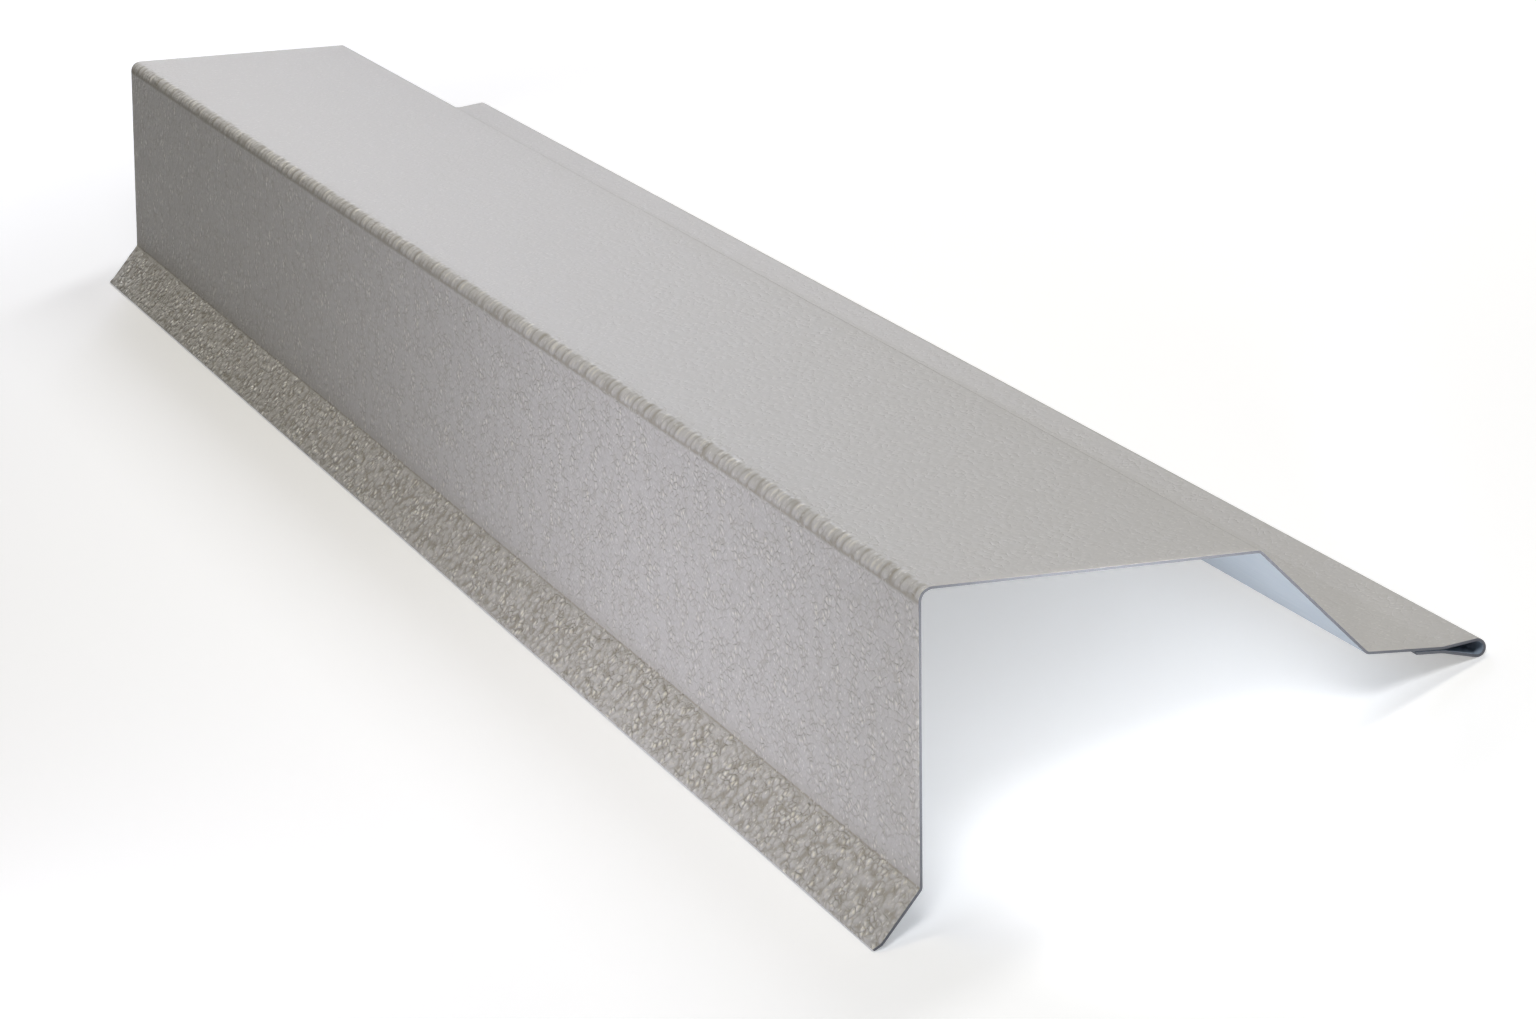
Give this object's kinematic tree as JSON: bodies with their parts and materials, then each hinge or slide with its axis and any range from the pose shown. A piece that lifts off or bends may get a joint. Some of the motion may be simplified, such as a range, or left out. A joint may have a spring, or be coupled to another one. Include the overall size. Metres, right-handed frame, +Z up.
{
  "type": "verge trim",
  "caption": "Long folded sheet-metal trim that caps the verge of a pitched roof: drip kick, deep face, wide top, sloping leg and a flange with an open hem.",
  "frame": {"origin": "middle of the part's foot print, on the level floor that it lies on", "axes": "+Y along the trim, from the near end to the far end; +X across it, from the drip edge to the hem; +Z up"},
  "size_m": [0.2106, 1.2526, 0.0968],
  "materials": {
    "coated_steel": "satin"
  },
  "bodies": {
    "root": {"verge_trim": "coated_steel"}
  },
  "joints": []
}
